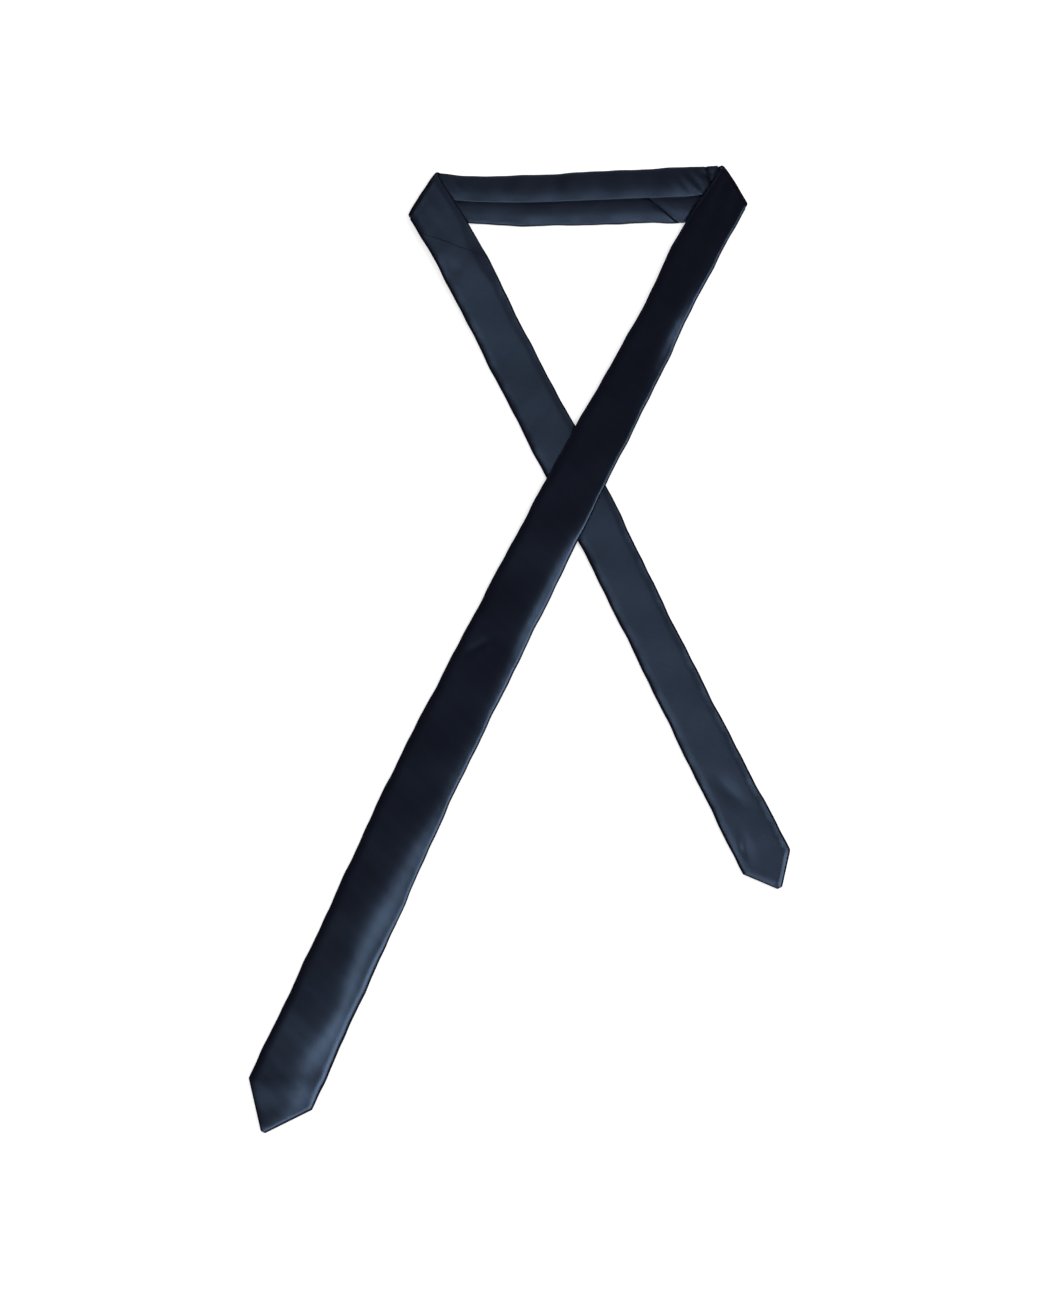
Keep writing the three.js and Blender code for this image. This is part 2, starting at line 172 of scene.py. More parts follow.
# %% Runs
class Run:
    """A strip with a straight axis in plan. s is along it, u across it, n up through its layers."""

    def __init__(self, start, heading, outer_side, mid, width, lift, relief,
                 tip=None, face_down=False, way=1):
        turn = math.radians(heading)
        self.start = np.array(start, float)
        self.along = np.array([math.cos(turn), math.sin(turn)])
        self.across = np.array([-self.along[1], self.along[0]]) * outer_side
        self.mid, self.width, self.lift, self.relief = mid, width, lift, relief
        self.tip, self.face_down, self.way = tip, face_down, way

    def half(self, s):
        half = self.width(s) / 2 + waves(s, 0, EDGE_WAVES)
        if self.tip is None:
            return half
        return np.minimum(half, (self.tip[0] - s) * self.tip[1])

    def plan(self, s, u):
        off = (self.mid(s) + u)[..., None]
        return self.start + s[..., None] * self.along + off * self.across

    def place(self, s, u, n, part=None):
        """Points in metres, an array with a last axis of three."""
        depth = n + self.relief(s, u, n, part)
        z = self.lift(s) + (THICK - depth if self.face_down else depth)
        return np.concatenate([self.plan(s, u), z[..., None]], -1) * MM


EDGE_WAVES = [(0.22, 61.0, 1e9, 0.4), (0.14, 33.0, 1e9, 2.2), (0.08, 17.0, 1e9, 4.1)]
BLADE_FLEX, BLADE_SHOULDER, BLADE_TIP = 262.0, 712.0, 741.8
TAIL_FLEX, TAIL_SHOULDER, TAIL_TIP = 270.0, 526.5, 547.6
print("the whole strip:", BLADE_TIP + TAIL_TIP, "mm and the neckband")

# %% [markdown]
# ## The cloth's relief
# Satin shows its shape through its highlights, so the small hills of a soft, pressed strip matter more
# than its outline. A front face is full in the middle and rolls off towards its folded edges. Slow
# ripples run along it, and short puckers fan out from each fold. Each relief below gives a height in
# millimetres that is full on one face and fades out through the layers to the other.

# %% Relief of the two fronts
def roll(edge, width, depth):
    """How far a face has dropped at a distance from its folded edge."""
    return -depth * np.clip(1 - edge / width, 0, 1) ** 2


def front_fade(n):
    """The front's relief fades evenly through the layers, so that they stay in order."""
    return n / THICK


# The blade's front is highest along a line right of its middle. It falls gently to the left, and on the
# right it steps down in a soft slope, whose middle, depth and half width change along the strip.
SLOPE_AT = curve([(0, -16), (118, -12), (180, -17), (240, -19), (300, -17), (350, -17), (400, -20),
                  (500, -18), (545, -14), (600, -11), (640, -15), (660, -14), (690, -9), (715, -14),
                  (742, -8)])
SLOPE_DROP = curve([(0, 0.0), (60, 0.3), (118, 1.5), (160, 0.6), (230, 0.1), (300, 1.1), (350, 1.1),
                    (400, 0.7), (450, 0.6), (500, 0.9), (550, 1.6), (600, 1.7), (650, 1.1), (690, 1.1),
                    (715, 0.9), (742, 0.6)])
SLOPE_HALF = curve([(0, 4), (118, 4), (230, 4), (300, 4), (400, 4), (500, 6), (550, 8), (600, 7),
                    (650, 5), (690, 8), (715, 6), (742, 6)])
LEFT_FALL = curve([(0, 0.0), (260, 0.012), (320, 0.035), (600, 0.040), (655, 0.020), (690, 0.030),
                   (720, 0.015)])


# Near the tip a few ripples lie level across the blade, at these distances down from the neckband.
STREAK_LEVELS = (505, 558, 612, 643, 675)
BLADE_RIPPLES = [(0.08, 118, 190, 0.6), (0.06, 57, -88, 2.1), (0.04, 27, 52, 4.0), (0.018, 11, 31, 1.0)]
TAIL_RIPPLES = [(0.12, 96, 150, 1.9), (0.08, 49, -70, 0.3), (0.05, 24, 45, 3.3), (0.02, 10, 29, 0.5)]


def blade_relief(s, u, n, part):
    half = blade.half(s)
    past = SLOPE_AT(s) - u
    top = -SLOPE_DROP(s) * (1 + np.tanh(past / SLOPE_HALF(s))) / 2
    top -= LEFT_FALL(s) * (np.sqrt(past * past + 25) - past) / 2
    low = step(s, 560, 610) * (1 - 0.6 * step(s, 695, 716))
    top += roll(half + u, mix(2.6, 4.6, low), mix(0.2, 1.25, low)) + roll(half - u, 6.0, 0.6)
    top += waves(s, u, BLADE_RIPPLES)
    top += np.exp(-np.abs(s) / 24) * 0.10 * np.sin(2 * math.pi * (u / 12.5 + s / 70) + 0.8)
    top += dent(s, u, 371, 9, 9, 2.6, 35, 0.14)
    streak = np.interp(-blade.plan(s, u)[..., 1], STREAK_LEVELS, range(len(STREAK_LEVELS)))
    top += 0.10 * step(s, 590, 660) * np.sin(2 * math.pi * streak)
    return np.maximum(top + 0.3, -2.6) * front_fade(n)


# The tail's right edge is pressed down in a narrow, even slope. This is how wide it is.
TAIL_RIGHT = curve([(0, 4.6), (30, 5.4), (58, 8.6), (84, 5.6), (250, 4.8), (548, 4.8)])


def tail_relief(s, u, n, part):
    half = tail.half(s)
    past = TAIL_RIGHT(s) - (half - u)
    top = -0.15 * (np.sqrt(past * past + 1) + past) / 2 + roll(half + u, 7.0, 0.8)
    top += waves(s, u, TAIL_RIPPLES)
    top += dent(s, u, 57, -9, 9, 6, 10, 0.35)
    top += np.exp(-np.abs(s) / 20) * 0.10 * np.sin(2 * math.pi * (u / 11.5 - s / 80) + 2.0)
    top += dent(s, u, 470, -1, 12, 5, 20, 0.45) + dent(s, u, 512, -9, 10, 4, -15, 0.4)
    return np.maximum(top, -2.25) * front_fade(n)


print("slow ripples:", len(BLADE_RIPPLES), "on the blade and", len(TAIL_RIPPLES), "on the tail")

# %% [markdown]
# ## The neckband's back
# The neckband shows its back, where two flaps meet. The outer flap is on top, so its free edge stands
# over a step, and both flaps roll down at their folded edges. The bias seam crosses the lower flap in a
# pressed groove, and short puckers gather at both folds.

# %% Relief of the neckband's back
SEAM_AT_EDGE = 38.0                 # the blade's bias seam, where it leaves the lower flap's free edge
SEAM_BIAS = 1.25                    # how far it goes along the strip for each millimetre across
SEAM_SQUARE = 0.62                  # turns a distance along the strip into one square to the seam
BAND_RIPPLES = [(0.18, 62, 120, 0.2), (0.11, 31, -60, 1.7), (0.04, 14, 38, 0.9)]


def band_relief(s, u, n, part):
    """The neckband shows its back: two flaps, each full in its middle, the upper one over the lower."""
    half = band.half(s)
    upper = -2.0 * np.clip((u - 3) / (half - 3), 0, 1) ** 1.7 - 0.15 * np.clip((2 - u) / 3.5, 0, 1) ** 1.5
    crest = -0.62 * half
    lower = -1.1 * np.clip((u - crest) / (OUTER_EDGE - crest), 0, 1) ** 1.5
    lower += -0.8 * np.clip((crest - u) / (half + crest), 0, 1) ** 1.6
    lower += -0.5 * step(u, OUTER_EDGE - 2.2, OUTER_EDGE)
    lower = lower * (1 - 0.6 * step(u, 0, 4))
    if part is None:                # the wool inside follows whichever flap is against it
        is_upper = step(u, INNER_EDGE - 1, INNER_EDGE + 3)
    else:
        is_upper = np.where(part >= 2, step(u, OUTER_EDGE - 0.6, OUTER_EDGE - 0.1), 0.0)
    drop = mix(lower, upper, is_upper)
    drop += waves(s, u, BAND_RIPPLES) - 0.30
    if part is not None:            # the lower flap's bias seam is pressed into a groove
        from_seam = (s - SEAM_AT_EDGE - (INNER_EDGE - u) * SEAM_BIAS) * SEAM_SQUARE
        drop += np.where(part == 0, -0.45 * np.exp(-(from_seam / 1.5) ** 2), 0.0)
    corner = np.exp(-np.abs(s - 92) / 12) + np.exp(-np.abs(s + 96) / 12)
    drop += 0.20 * corner * (np.sin(2 * math.pi * (s / 15 + u / 40)) - 1)
    drop += dent(s, u, 89, 11, 7, 2.2, 62, 0.5) - dent(s, u, 94, 13, 6, 1.8, 62, 0.5)
    puckers = step(s, 60, 82) + step(-s, 78, 92)
    drop += 0.24 * puckers * (np.sin(2 * math.pi * (s + u * 0.8) / 9) - 1)
    return -np.clip(drop, -2.6, 0.3) * (1 - n / THICK)


print("the bias seam slants by", round(math.degrees(math.atan(SEAM_BIAS))), "degrees from square across")

# %% [markdown]
# ## The three runs in place
# The neckband lies across the top, with its back up. The blade leaves its right end and the tail its
# left end, each at its own slant, and the blade's lift takes it over the neckband and then the tail.

# %% The runs
band = Run(
    (0, 0), 0, 1,
    mid=curve([(-115, 3.2), (-98, 1.2), (-73, -0.8), (-40, -1.4), (0, 0), (50, 2), (80, 3.4),
               (108, 9.6)]),
    width=curve([(-115, 31), (-98, 33.4), (-66, 33.6), (-40, 35.8), (0, 37.1), (50, 38.3), (80, 38),
                 (108, 28.4)]),
    lift=lambda s: np.zeros_like(s),
    relief=band_relief,
    face_down=True,
)
blade = Run(
    (110.6, 10.15), -116.63, -1,
    mid=curve([(0, 1.4), (50, 5.3), (130, 5.3), (235, 7.8), (400, 9.2), (480, 9), (585, 5), (712, 1),
               (742, 0)]),
    width=curve([(0, 28.4), (50, 33), (95, 31.4), (165, 35.5), (270, 40.2), (410, 44.5), (550, 47.2),
                 (655, 48.3), (712, 50.3), (742, 51)]),
    lift=curve([(0, OVER_BAND), (48, OVER_BAND), (90, 3.9), (160, 4.1), (205, 4.6), (262, 4.3), (330, 3.0),
                (420, 1.6), (560, 0.8), (742, 0.5)]),
    relief=blade_relief,
    tip=(BLADE_TIP + 2, 0.79),
)
tail = Run(
    (-111.3, 3.15), -62.64, 1,
    mid=curve([(0, 0.6), (50, 3.9), (130, 3.5), (235, 3.9), (340, 2), (445, 0.5), (548, 0)]),
    width=curve([(0, 32.6), (50, 34), (130, 33.4), (235, 35), (340, 34), (445, 35.6), (516, 37.4),
                 (548, 37.6)]),
    lift=curve([(0, OVER_BAND), (44, OVER_BAND), (120, 0.3), (200, 0)]),
    relief=tail_relief,
    tip=(TAIL_TIP + 1, 0.83),
    way=-1,
)
print("blade's width at its shoulder:", blade.half(np.array([BLADE_SHOULDER])) * 2)
print("tail's width at its shoulder:", tail.half(np.array([TAIL_SHOULDER])) * 2)


# %% [markdown]
# ## Round the two folds
# At each end the whole strip bends over a straight line on the floor. That hinge line lies one bend
# radius inside the fold's visible edge, and every layer keeps its own radius about it.

# %% Folds
class Fold:
    def __init__(self, top, bottom, inward_x, run):
        self.line = np.array(bottom, float) - np.array(top, float)
        self.line /= np.linalg.norm(self.line)
        self.inward = np.array([-self.line[1], self.line[0]])
        if self.inward[0] * inward_x < 0:
            self.inward = -self.inward
        self.at = np.array(top, float) + self.inward * HINGE_Z
        self.run = run

    def end(self, run, u, guess):
        """Where a run, at the across distance u, comes to the hinge line."""
        s = np.full_like(u, guess)
        for _ in range(6):
            side = (run.mid(s) + u) * (run.across @ self.inward)
            s = ((self.at - run.start) @ self.inward - side) / (run.along @ self.inward)
        return s


blade_fold = Fold((100.2, 23.9), (117.5, -4.2), -1, blade)
tail_fold = Fold((-101, 18.8), (-121.6, -12.6), 1, tail)
BAND_END = 105.0                    # roughly where the neckband ends, from its middle: a first guess
print("hinge lines pass through:", blade_fold.at.round(1), tail_fold.at.round(1))

# %% [markdown]
# ## One section of satin
# Going round a section, the satin starts at the inner flap's free edge, turns over the left fold, crosses
# the front, turns over the right fold and ends at the outer flap's free edge. Each column of points has
# a part (which of those five stretches it is on) and a share along it.

# %% Section columns
PART_POINTS = (12, 9, 34, 9, 16)
NOSE = (0.012, 0.03, 0.05)          # close columns that round a flap's free edge
FLAP_SPAN = 16                      # a flap's usual width, which turns a share into millimetres
NOSE_REACH = 0.55                   # the rounding's width and depth
NOSE_DEPTH = 0.17
SECTION = [(0, 0.0)] + [(0, share) for share in NOSE]
SECTION += [(part, k / (count - 1)) for part, count in enumerate(PART_POINTS) for k in range(1, count)]
SECTION += [(4, 1 - share) for share in NOSE]
SECTION.sort()
PART = np.array([part for part, _ in SECTION])
SHARE = np.array([share for _, share in SECTION])
# TURN goes from 0 at the inner flap's edge to 3 at the outer flap's: the folded edges are near 1 and 2.
TURN = np.select([PART == 0, PART == 1, PART == 2, PART == 3, PART == 4],
                 [0.9 * SHARE, 0.9 + 0.2 * SHARE, 1.1 + 0.8 * SHARE, 1.9 + 0.2 * SHARE, 2.1 + 0.9 * SHARE])


def body_flaps(run):
    return lambda s: (np.full_like(s, OUTER_EDGE), np.full_like(s, INNER_EDGE))


def tip_flaps(run, tack_at, shoulder):
    """Below the bar tack the flaps part, from the centre line to a hem round the tip."""
    def edges(s):
        parted = step(s, tack_at, shoulder)
        hem = np.maximum(run.half(s) - HEM, 0.0)
        return mix(OUTER_EDGE, hem, parted), mix(INNER_EDGE, -hem, parted)
    return edges


def satin_at(run, s, flaps, inset):
    """u and n of every section column at its own s, for the satin's outside or (inset) its inside."""
    half = run.half(s)
    outer, inner = flaps(s)
    outer_r, inner_r = THICK / 2, (THICK - INNER_FLAP) / 2
    left, right = inner_r - half, half - outer_r
    angle = math.pi * SHARE
    bend_left, bend_right = inner_r - inset, outer_r - inset
    u = np.select(
        [PART == 0, PART == 1, PART == 2, PART == 3, PART == 4],
        [mix(inner, left, SHARE), left - bend_left * np.sin(angle), mix(left, right, SHARE),
         right + bend_right * np.sin(angle), mix(right, outer, SHARE)])
    from_edge = np.where(PART == 0, SHARE, 1 - SHARE) * FLAP_SPAN
    nose = NOSE_DEPTH * np.clip(1 - from_edge / NOSE_REACH, 0, 1) ** 2 * (1 if inset == 0 else -1)
    n = np.select(
        [PART == 0, PART == 1, PART == 2, PART == 3, PART == 4],
        [INNER_FLAP + inset + nose + 0 * s, INNER_FLAP + inner_r - bend_left * np.cos(angle) + 0 * s,
         THICK - inset + 0 * s, outer_r + bend_right * np.cos(angle) + 0 * s, inset + nose + 0 * s])
    return u, n


def unrolled(run, s, flaps):
    """How far round the satin each column is, counted from the middle of the front."""
    u, n = satin_at(run, s, flaps, 0.0)
    steps = np.hypot(np.diff(u, axis=1), np.diff(n, axis=1))
    v = np.concatenate([np.zeros((len(s), 1)), np.cumsum(steps, 1)], 1)
    front = (PART == 2) & (SHARE <= 0.5)
    last = np.nonzero(front)[0][-1]
    return v - (v[:, last] - u[:, last])[:, None]


print("columns round a section:", len(SECTION))

# %% [markdown]
# ## From grids of points to cloth
# Real cloth has two faces and a cut edge. Two grids of points, one for each face, are joined round their
# rim into one closed body. A Solidify modifier could thicken a single sheet, but two grids keep every
# layer at the depth that the CAD model gives it.

# %% Helper: a new mesh object
SHARP = 50.0                        # a cut edge keeps its corner, and everything flatter is smooth


def new_piece(name, vertices, faces, uv=None):
    """A mesh object with its faces turned outwards and, if given, the flat cloth's own map in metres."""
    mesh = bpy.data.meshes.new(name)
    mesh.from_pydata([tuple(p) for p in vertices], [], [tuple(int(k) for k in f) for f in faces])
    if uv is not None:
        corners = np.zeros(len(mesh.loops), np.int32)
        mesh.loops.foreach_get("vertex_index", corners)
        layer = mesh.uv_layers.new(name="cloth")
        layer.data.foreach_set("uv", np.asarray(uv, np.float32)[corners].ravel())
    work = bmesh.new()
    work.from_mesh(mesh)
    bmesh.ops.recalc_face_normals(work, faces=work.faces)
    if work.calc_volume(signed=True) < 0:
        bmesh.ops.reverse_faces(work, faces=work.faces)
    work.to_mesh(mesh)
    work.free()
    mesh.shade_smooth()
    mesh.set_sharp_from_angle(angle=math.radians(SHARP))
    piece = bpy.data.objects.new(name, mesh)
    bpy.context.scene.collection.objects.link(piece)
    return piece


print("edges bent by more than", SHARP, "degrees keep their corner")

# %% [markdown]
# ## A cloth and its flat map
# A cloth's map says where each point lay before the cloth was folded. It is laid out in metres along the
# threads, which are at 45 degrees to the strip, so patterns keep their real size and direction.

# %% Helpers: a cloth body and its map
def shell(name, outside, inside, uv):
    """Closes two grids of points, the two faces of a cloth, into one body."""
    rows, columns = outside.shape[:2]
    index = np.arange(rows * columns).reshape(rows, columns)
    under = index + rows * columns
    faces = []
    for grid, turn in ((index, 1), (under, -1)):
        quads = np.stack([grid[:-1, :-1], grid[:-1, 1:], grid[1:, 1:], grid[1:, :-1]], -1).reshape(-1, 4)
        faces.extend(quads[:, ::turn].tolist())
    rim = np.concatenate([index[0, :], index[1:, -1], index[-1, -2::-1], index[-2:0:-1, 0]])
    rim_under = rim + rows * columns
    for k in range(len(rim)):
        m = (k + 1) % len(rim)
        faces.append([rim[k], rim_under[k], rim_under[m], rim[m]])
    points = np.concatenate([outside.reshape(-1, 3), inside.reshape(-1, 3)])
    flat = np.concatenate([uv.reshape(-1, 2), uv.reshape(-1, 2)])
    return new_piece(name, points, faces, flat)


def cloth_map(run, s, v, offset=0.0):
    """The bias cut: the map's first axis lies across the satin's threads, at 45 degrees to the strip."""
    path = run.way * s + offset
    return np.stack([path + v, path - v], -1) / math.sqrt(2) * MM


print("100 mm along the blade on the map:", cloth_map(blade, np.array([100.0]), np.array([0.0])).round(4))

# %% [markdown]
# ## Threads
# A stitch is a short length of thread. A curve with a round bevel could draw it, but a ring of points
# moved along a line makes the same tube at once, and many stitches then go into one piece.

# %% Helpers: threads
def tube(points, radius, sides=8):
    """Vertices and faces of a closed round thread along a list of points."""
    points = np.asarray(points, float)
    ahead = np.gradient(points, axis=0)
    ahead /= np.linalg.norm(ahead, axis=1)[:, None]
    side = np.cross(ahead, [0.0, 0.0, 1.0])
    side /= np.maximum(np.linalg.norm(side, axis=1), 1e-9)[:, None]
    up = np.cross(side, ahead)
    angle = np.arange(sides) * 2 * math.pi / sides
    ring = np.cos(angle)[None, :, None] * side[:, None] + np.sin(angle)[None, :, None] * up[:, None]
    vertices = (points[:, None] + radius * ring).reshape(-1, 3)
    faces = []
    for k in range(len(points) - 1):
        for i in range(sides):
            a, b = k * sides + i, k * sides + (i + 1) % sides
            faces.append([a, b, b + sides, a + sides])
    faces.append(list(range(sides))[::-1])
    faces.append([(len(points) - 1) * sides + i for i in range(sides)])
    return vertices, faces


def threads(name, lines, radius):
    """Several threads as one piece."""
    vertices, faces = [], []
    for line in lines:
        more, quads = tube(line, radius)
        faces += [[k + len(vertices) for k in quad] for quad in quads]
        vertices += [tuple(p) for p in more]
    return new_piece(name, vertices, faces)


print("faces of the shortest thread:", len(tube([(0, 0, 0), (1, 0, 0)], 0.1)[1]))

# %% [markdown]
# ## Materials
# Every colour below is written as it looks on a screen, and one function turns it into the linear light
# that the shaders work with. Another adds a node and links it, so each material reads as a short list.

# %% Helpers: colours and nodes
def linear(hex_colour):
    """An sRGB hex colour as linear red, green, blue and alpha."""
    parts = [int(hex_colour[k:k + 2], 16) / 255 for k in (1, 3, 5)]
    return tuple(c / 12.92 if c <= 0.04045 else ((c + 0.055) / 1.055) ** 2.4 for c in parts) + (1.0,)


def node(tree, kind, settings=None, inputs=None):
    """Adds a node, sets its properties, and sets or links its inputs."""
    made = tree.nodes.new(kind)
    for key, value in (settings or {}).items():
        setattr(made, key, value)
    for key, value in (inputs or {}).items():
        if isinstance(value, bpy.types.NodeSocket):
            tree.links.new(value, made.inputs[key])
        else:
            made.inputs[key].default_value = value
    return made


def new_material(name):
    material = bpy.data.materials.new(name)
    material.use_nodes = True
    material.node_tree.nodes.clear()
    return material, material.node_tree


print("mid grey on a screen is this much light:", round(linear("#808080")[0], 3))

# %% [markdown]
# ## Silk satin
# Silk satin floats long, untwisted threads over its surface, so it is smooth along the threads and rough
# across them: its highlight is drawn out at right angles to them. A tie is cut on the bias, so the
# threads run at 45 degrees to the strip, and after each fold they point another way. That is why one
# strip looks bright while the next looks nearly black. The map made above gives the shader that
# direction.

# %% Silk satin
THREAD_DRAWN = 1.7 * MM             # a real thread is 0.1 mm: drawn wider, so that its grain shows
SLUB_LENGTH = 17 * MM               # how long a thicker stretch of thread is
DYE_PATCH = 14 * MM                 # how far apart the dye changes a little
WEAR_PATCH = 40 * MM                # how far apart the finish is a little smoother or rougher
THREAD_RISE = 0.10 * MM             # how high the drawn threads stand


def silk_satin():
    """Dyed silk satin: nearly black in itself, with a blue sheen that comes off its long threads."""
    material, tree = new_material("silk_satin")
    cloth = node(tree, "ShaderNodeUVMap", {"uv_map": "cloth"}).outputs["UV"]
    grain = node(tree, "ShaderNodeMapping", {}, {
        "Vector": cloth, "Scale": (1 / THREAD_DRAWN, 1 / SLUB_LENGTH, 1.0)})
    streaks = node(tree, "ShaderNodeTexNoise", {}, {
        "Vector": grain.outputs["Vector"], "Scale": 1.0, "Detail": 3.0, "Roughness": 0.6})
    broad = node(tree, "ShaderNodeTexNoise", {}, {
        "Vector": cloth, "Scale": 1 / WEAR_PATCH, "Detail": 2.0})
    patches = node(tree, "ShaderNodeTexNoise", {}, {
        "Vector": cloth, "Scale": 1 / DYE_PATCH, "Detail": 3.0, "Roughness": 0.6})
    shade = node(tree, "ShaderNodeMix", {"data_type": "RGBA"}, {
        "Factor": patches.outputs["Fac"], "A": linear("#0a0d14"), "B": linear("#130e1b")})
    rough = node(tree, "ShaderNodeMapRange", {}, {
        "Value": broad.outputs["Fac"], "From Min": 0.3, "From Max": 0.7, "To Min": 0.31, "To Max": 0.36})
    relief = node(tree, "ShaderNodeBump", {}, {
        "Height": streaks.outputs["Fac"], "Strength": 0.6, "Distance": THREAD_RISE})
    direction = node(tree, "ShaderNodeTangent", {"direction_type": "UV_MAP", "uv_map": "cloth"})
    surface = node(tree, "ShaderNodeBsdfPrincipled", {}, {
        "Base Color": shade.outputs["Result"], "Roughness": rough.outputs["Result"],
        "IOR": 1.54, "Anisotropic": 0.8, "Specular Tint": linear("#aed1ff"),
        "Sheen Weight": 0.02, "Sheen Roughness": 0.4, "Sheen Tint": linear("#6f8fc0"),
        "Normal": relief.outputs["Normal"], "Tangent": direction.outputs["Tangent"]})
    node(tree, "ShaderNodeOutputMaterial", {}, {"Surface": surface.outputs["BSDF"]})
    return material


satin = silk_satin()
print("silk satin: threads drawn", THREAD_DRAWN / MM, "mm wide")

# %% [markdown]
# ## Lining and label tape
# Both are plain weaves: a thread over one and under one, in both directions. It gives the eye a fine
# even grain and little gloss. Two wave textures at right angles, multiplied, draw the crossings.

# %% Lining and label tape
def woven(name, dark, light, pitch, roughness, height):
    """A plain weave: two crossing sets of threads, in the cloth's own map."""
    material, tree = new_material(name)
    cloth = node(tree, "ShaderNodeUVMap", {"uv_map": "cloth"}).outputs["UV"]
    warp = node(tree, "ShaderNodeTexWave", {"bands_direction": "X"}, {
        "Vector": cloth, "Scale": 1 / (20 * pitch), "Distortion": 0.6, "Detail": 1.0})
    weft = node(tree, "ShaderNodeTexWave", {"bands_direction": "Y"}, {
        "Vector": cloth, "Scale": 1 / (20 * pitch), "Distortion": 0.6, "Detail": 1.0})
    both = node(tree, "ShaderNodeMath", {"operation": "MULTIPLY"})
    tree.links.new(warp.outputs["Fac"], both.inputs[0])
    tree.links.new(weft.outputs["Fac"], both.inputs[1])
    shade = node(tree, "ShaderNodeMix", {"data_type": "RGBA"}, {
        "Factor": both.outputs["Value"], "A": linear(dark), "B": linear(light)})
    relief = node(tree, "ShaderNodeBump", {}, {
        "Height": both.outputs["Value"], "Strength": 0.5, "Distance": height})
    surface = node(tree, "ShaderNodeBsdfPrincipled", {}, {
        "Base Color": shade.outputs["Result"], "Roughness": roughness, "IOR": 1.5,
        "Sheen Weight": 0.1, "Normal": relief.outputs["Normal"]})
    node(tree, "ShaderNodeOutputMaterial", {}, {"Surface": surface.outputs["BSDF"]})
    return material


lining_cloth = woven("lining_cloth", "#10151f", "#1c2431", 0.5 * MM, 0.45, 0.04 * MM)
label_tape = woven("label_tape", "#b9bdc3", "#d6d9dd", 0.4 * MM, 0.7, 0.05 * MM)
print("plain weaves:", lining_cloth.name, label_tape.name)


# %% [markdown]
# ## Wool interlining
# The interlining is undyed wool, woven and then brushed until its short hairs hide the weave. It looks
# matt and soft, so it has a noise for the nap and a sheen, and no pattern of threads.

# %% Brushed wool
NAP = 1.2 * MM                      # how far apart the tufts of the nap are


def brushed_wool():
    """Wool interlining: a raised, matt nap of short hairs."""
    material, tree = new_material("brushed_wool")
    place = node(tree, "ShaderNodeTexCoord").outputs["Object"]
    nap = node(tree, "ShaderNodeTexNoise", {}, {
        "Vector": place, "Scale": 1 / NAP, "Detail": 6.0, "Roughness": 0.75})
    shade = node(tree, "ShaderNodeMix", {"data_type": "RGBA"}, {
        "Factor": nap.outputs["Fac"], "A": linear("#bdb6a6"), "B": linear("#e6e1d4")})
    relief = node(tree, "ShaderNodeBump", {}, {
        "Height": nap.outputs["Fac"], "Strength": 0.8, "Distance": 0.2 * MM})
    surface = node(tree, "ShaderNodeBsdfPrincipled", {}, {
        "Base Color": shade.outputs["Result"], "Roughness": 0.95, "Sheen Weight": 0.4,
        "Normal": relief.outputs["Normal"]})
    node(tree, "ShaderNodeOutputMaterial", {}, {"Surface": surface.outputs["BSDF"]})
    return material


wool = brushed_wool()
print("interlining:", wool.name)


# %% [markdown]
# ## Sewing silk
# The seams and stitches are twisted silk. Twist scatters the light that long threads would gather, so
# it looks darker than the satin, with a fine slanted ply.

# %% Sewing silk
PLY = 0.35 * MM                     # the length of one turn of the twist


def silk_thread():
    """Twisted sewing silk: a fine slanted ply along each thread."""
    material, tree = new_material("silk_thread")
    place = node(tree, "ShaderNodeTexCoord").outputs["Object"]
    ply = node(tree, "ShaderNodeTexWave", {"bands_direction": "DIAGONAL"}, {
        "Vector": place, "Scale": 1 / (20 * PLY), "Distortion": 1.0})
    shade = node(tree, "ShaderNodeMix", {"data_type": "RGBA"}, {
        "Factor": ply.outputs["Fac"], "A": linear("#05060b"), "B": linear("#0d1018")})
    relief = node(tree, "ShaderNodeBump", {}, {
        "Height": ply.outputs["Fac"], "Strength": 0.6, "Distance": 0.05 * MM})
    surface = node(tree, "ShaderNodeBsdfPrincipled", {}, {
        "Base Color": shade.outputs["Result"], "Roughness": 0.7, "Specular IOR Level": 0.15,
        "Specular Tint": linear("#aed1ff"), "Normal": relief.outputs["Normal"]})
    node(tree, "ShaderNodeOutputMaterial", {}, {"Surface": surface.outputs["BSDF"]})
    return material


thread = silk_thread()
print("thread:", thread.name)


# %% [markdown]
# ## Riding and bending
# A stiff piece rides on one body. Cloth that crosses a joint is given a bend instead: it would follow one
# body up to a start, the other after an end, and bend evenly in between. At a fold the bend goes by height,
# because the cloth climbs as it turns over. Here a piece with a bend only has its transform baked into it.

# %% Helper: finishing a piece
def finish_piece(piece, material, nodes=(), body=None, bend=None):
    """Gives a piece its material and slot, hides the CAD nodes it stands for, and parents it to its body or,
    given a bend, bakes its transform.
    """
    piece.data.materials.append(material)
    if nodes:
        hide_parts(*nodes)
    if bend is not None:
        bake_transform(piece)
    else:
        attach(piece, body)
    return piece


def flex_bend(run, parent, child, flex, before, after):
    """Where cloth bends over a flex line: the two bodies and the two ends of the bend."""
    ends = run.place(np.array([flex - before, flex + after]), np.zeros(2), np.zeros(2))
    start, end = (tuple(float(x) for x in (p[0], p[1], 0.0)) for p in ends)
    return parent, child, start, end


def fold_bend(child, low_z, high_z):
    """Where cloth bends round a fold: it turns as it climbs from low_z to high_z."""
    return "neckband", child, (0.0, 0.0, low_z * MM), (0.0, 0.0, high_z * MM)


blade_bend = flex_bend(blade, "blade", "blade_end", BLADE_FLEX, 12, 26)
tail_bend = flex_bend(tail, "tail", "tail_end", TAIL_FLEX, 3, 26)
print("the blade's end bends from", np.round(blade_bend[2], 3), "to", np.round(blade_bend[3], 3))

